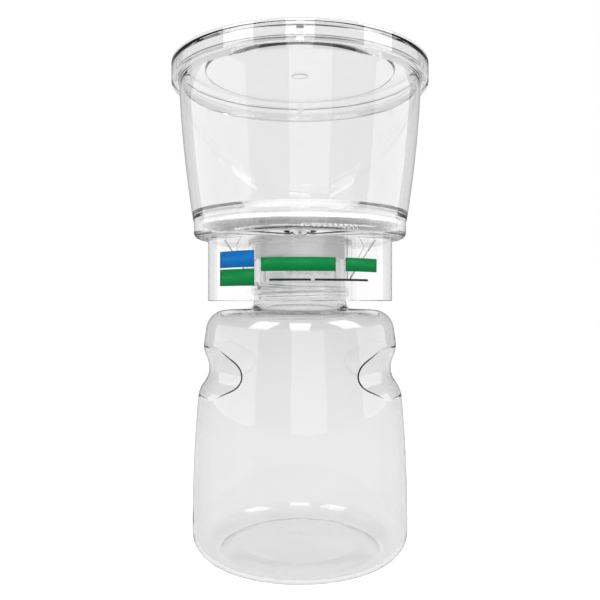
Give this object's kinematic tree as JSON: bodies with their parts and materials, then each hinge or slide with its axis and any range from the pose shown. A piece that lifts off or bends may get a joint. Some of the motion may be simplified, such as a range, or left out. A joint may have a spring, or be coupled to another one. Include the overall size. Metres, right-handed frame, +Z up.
{
  "type": "vacuum filtration unit",
  "caption": "Clear laboratory filter unit: a lidded funnel over a membrane base screws onto a receiver bottle with finger grips and is drawn by vacuum.",
  "frame": {"origin": "on the axis of the unit, in the plane that the bottle's base ring stands on", "axes": "+Z up along the axis of revolution; +Y along the vacuum port, away from the printed front; the finger grips at +X and -X"},
  "size_m": [0.1164, 0.1164, 0.2198],
  "materials": {
    "clear_bottle": "clear polystyrene, polished",
    "clear_base": "clear polystyrene, polished",
    "clear_funnel": "clear polystyrene, polished",
    "clear_lid": "clear polystyrene, polished",
    "silicone": "translucent white, soft",
    "white_screen": "white, matt",
    "white_membrane": "white, fine pores",
    "natural_plastic": "natural, satin",
    "cotton": "white, fibrous",
    "print_ink": "printed ink"
  },
  "bodies": {
    "receiver": {"bottle": "clear_bottle"},
    "seal": {"neck_gasket": "silicone"},
    "head": {"neck_collar": "clear_base", "base_skirt": "clear_base", "filter_base": "clear_base", "support_screen": "white_screen", "membrane": "white_membrane", "membrane_gasket": "silicone", "funnel": "clear_funnel", "hose_connector": "natural_plastic", "port_plug": "cotton"},
    "cover": {"lid": "clear_lid"}
  },
  "joints": [
    {"name": "head_rise", "type": "slide", "parent": "receiver", "child": "seal", "axis": [0, 0, 1], "range_m": [0, 0.006]},
    {"name": "head_turn", "type": "hinge", "parent": "seal", "child": "head", "pos_m": [0, 0, 0.12], "axis": [0, 0, 1], "range_deg": [0, 540]},
    {"name": "lid_lift", "type": "slide", "parent": "head", "child": "cover", "axis": [0, 0, 1], "range_m": [0, 0.06]}
  ],
  "couplings": [
    {"joint": "head_rise", "follows": "head_turn", "m_per_rad": 0.000636}
  ]
}
